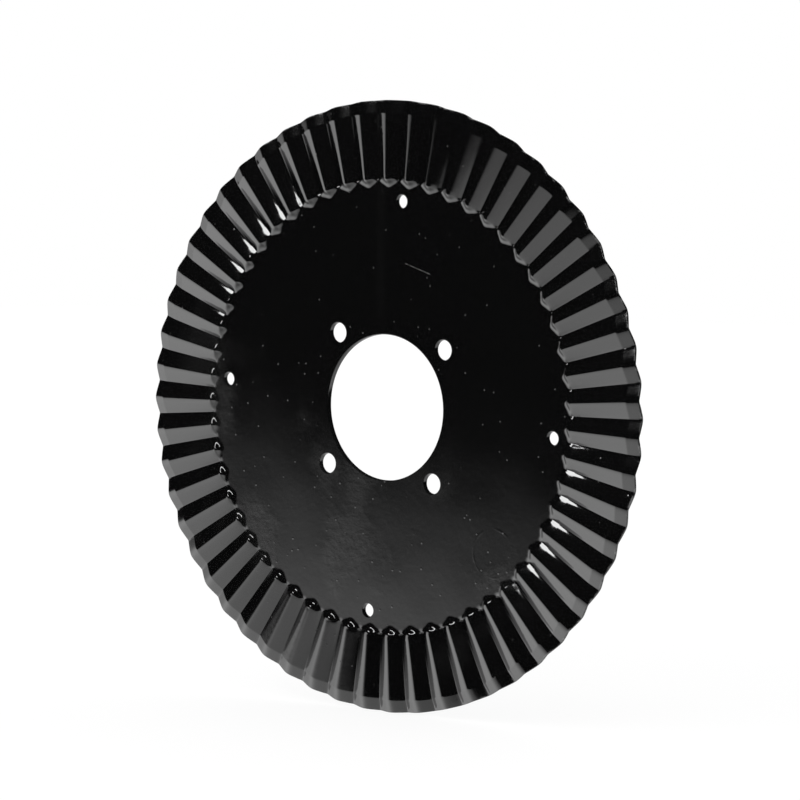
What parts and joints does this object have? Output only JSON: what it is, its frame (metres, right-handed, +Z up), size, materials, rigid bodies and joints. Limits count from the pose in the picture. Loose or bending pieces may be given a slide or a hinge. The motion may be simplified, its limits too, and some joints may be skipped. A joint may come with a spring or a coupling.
{
  "type": "wavy disc blade",
  "caption": "Round flat steel disc blade with straight radial flutes pressed round its edge, a bevelled rim, a central pilot bore, a hub bolt circle and an outer circle of small holes.",
  "frame": {"origin": "centre of the pilot bore, halfway through the plate's thickness", "axes": "+Y along the blade's axis, from the bevelled front face towards the back face; +Z up, with the blade standing on edge; +X to the right as seen from the front"},
  "size_m": [0.432, 0.0079, 0.432],
  "materials": {
    "blade_paint": "gloss black"
  },
  "bodies": {
    "root": {"disc_blade": "blade_paint"}
  },
  "joints": []
}
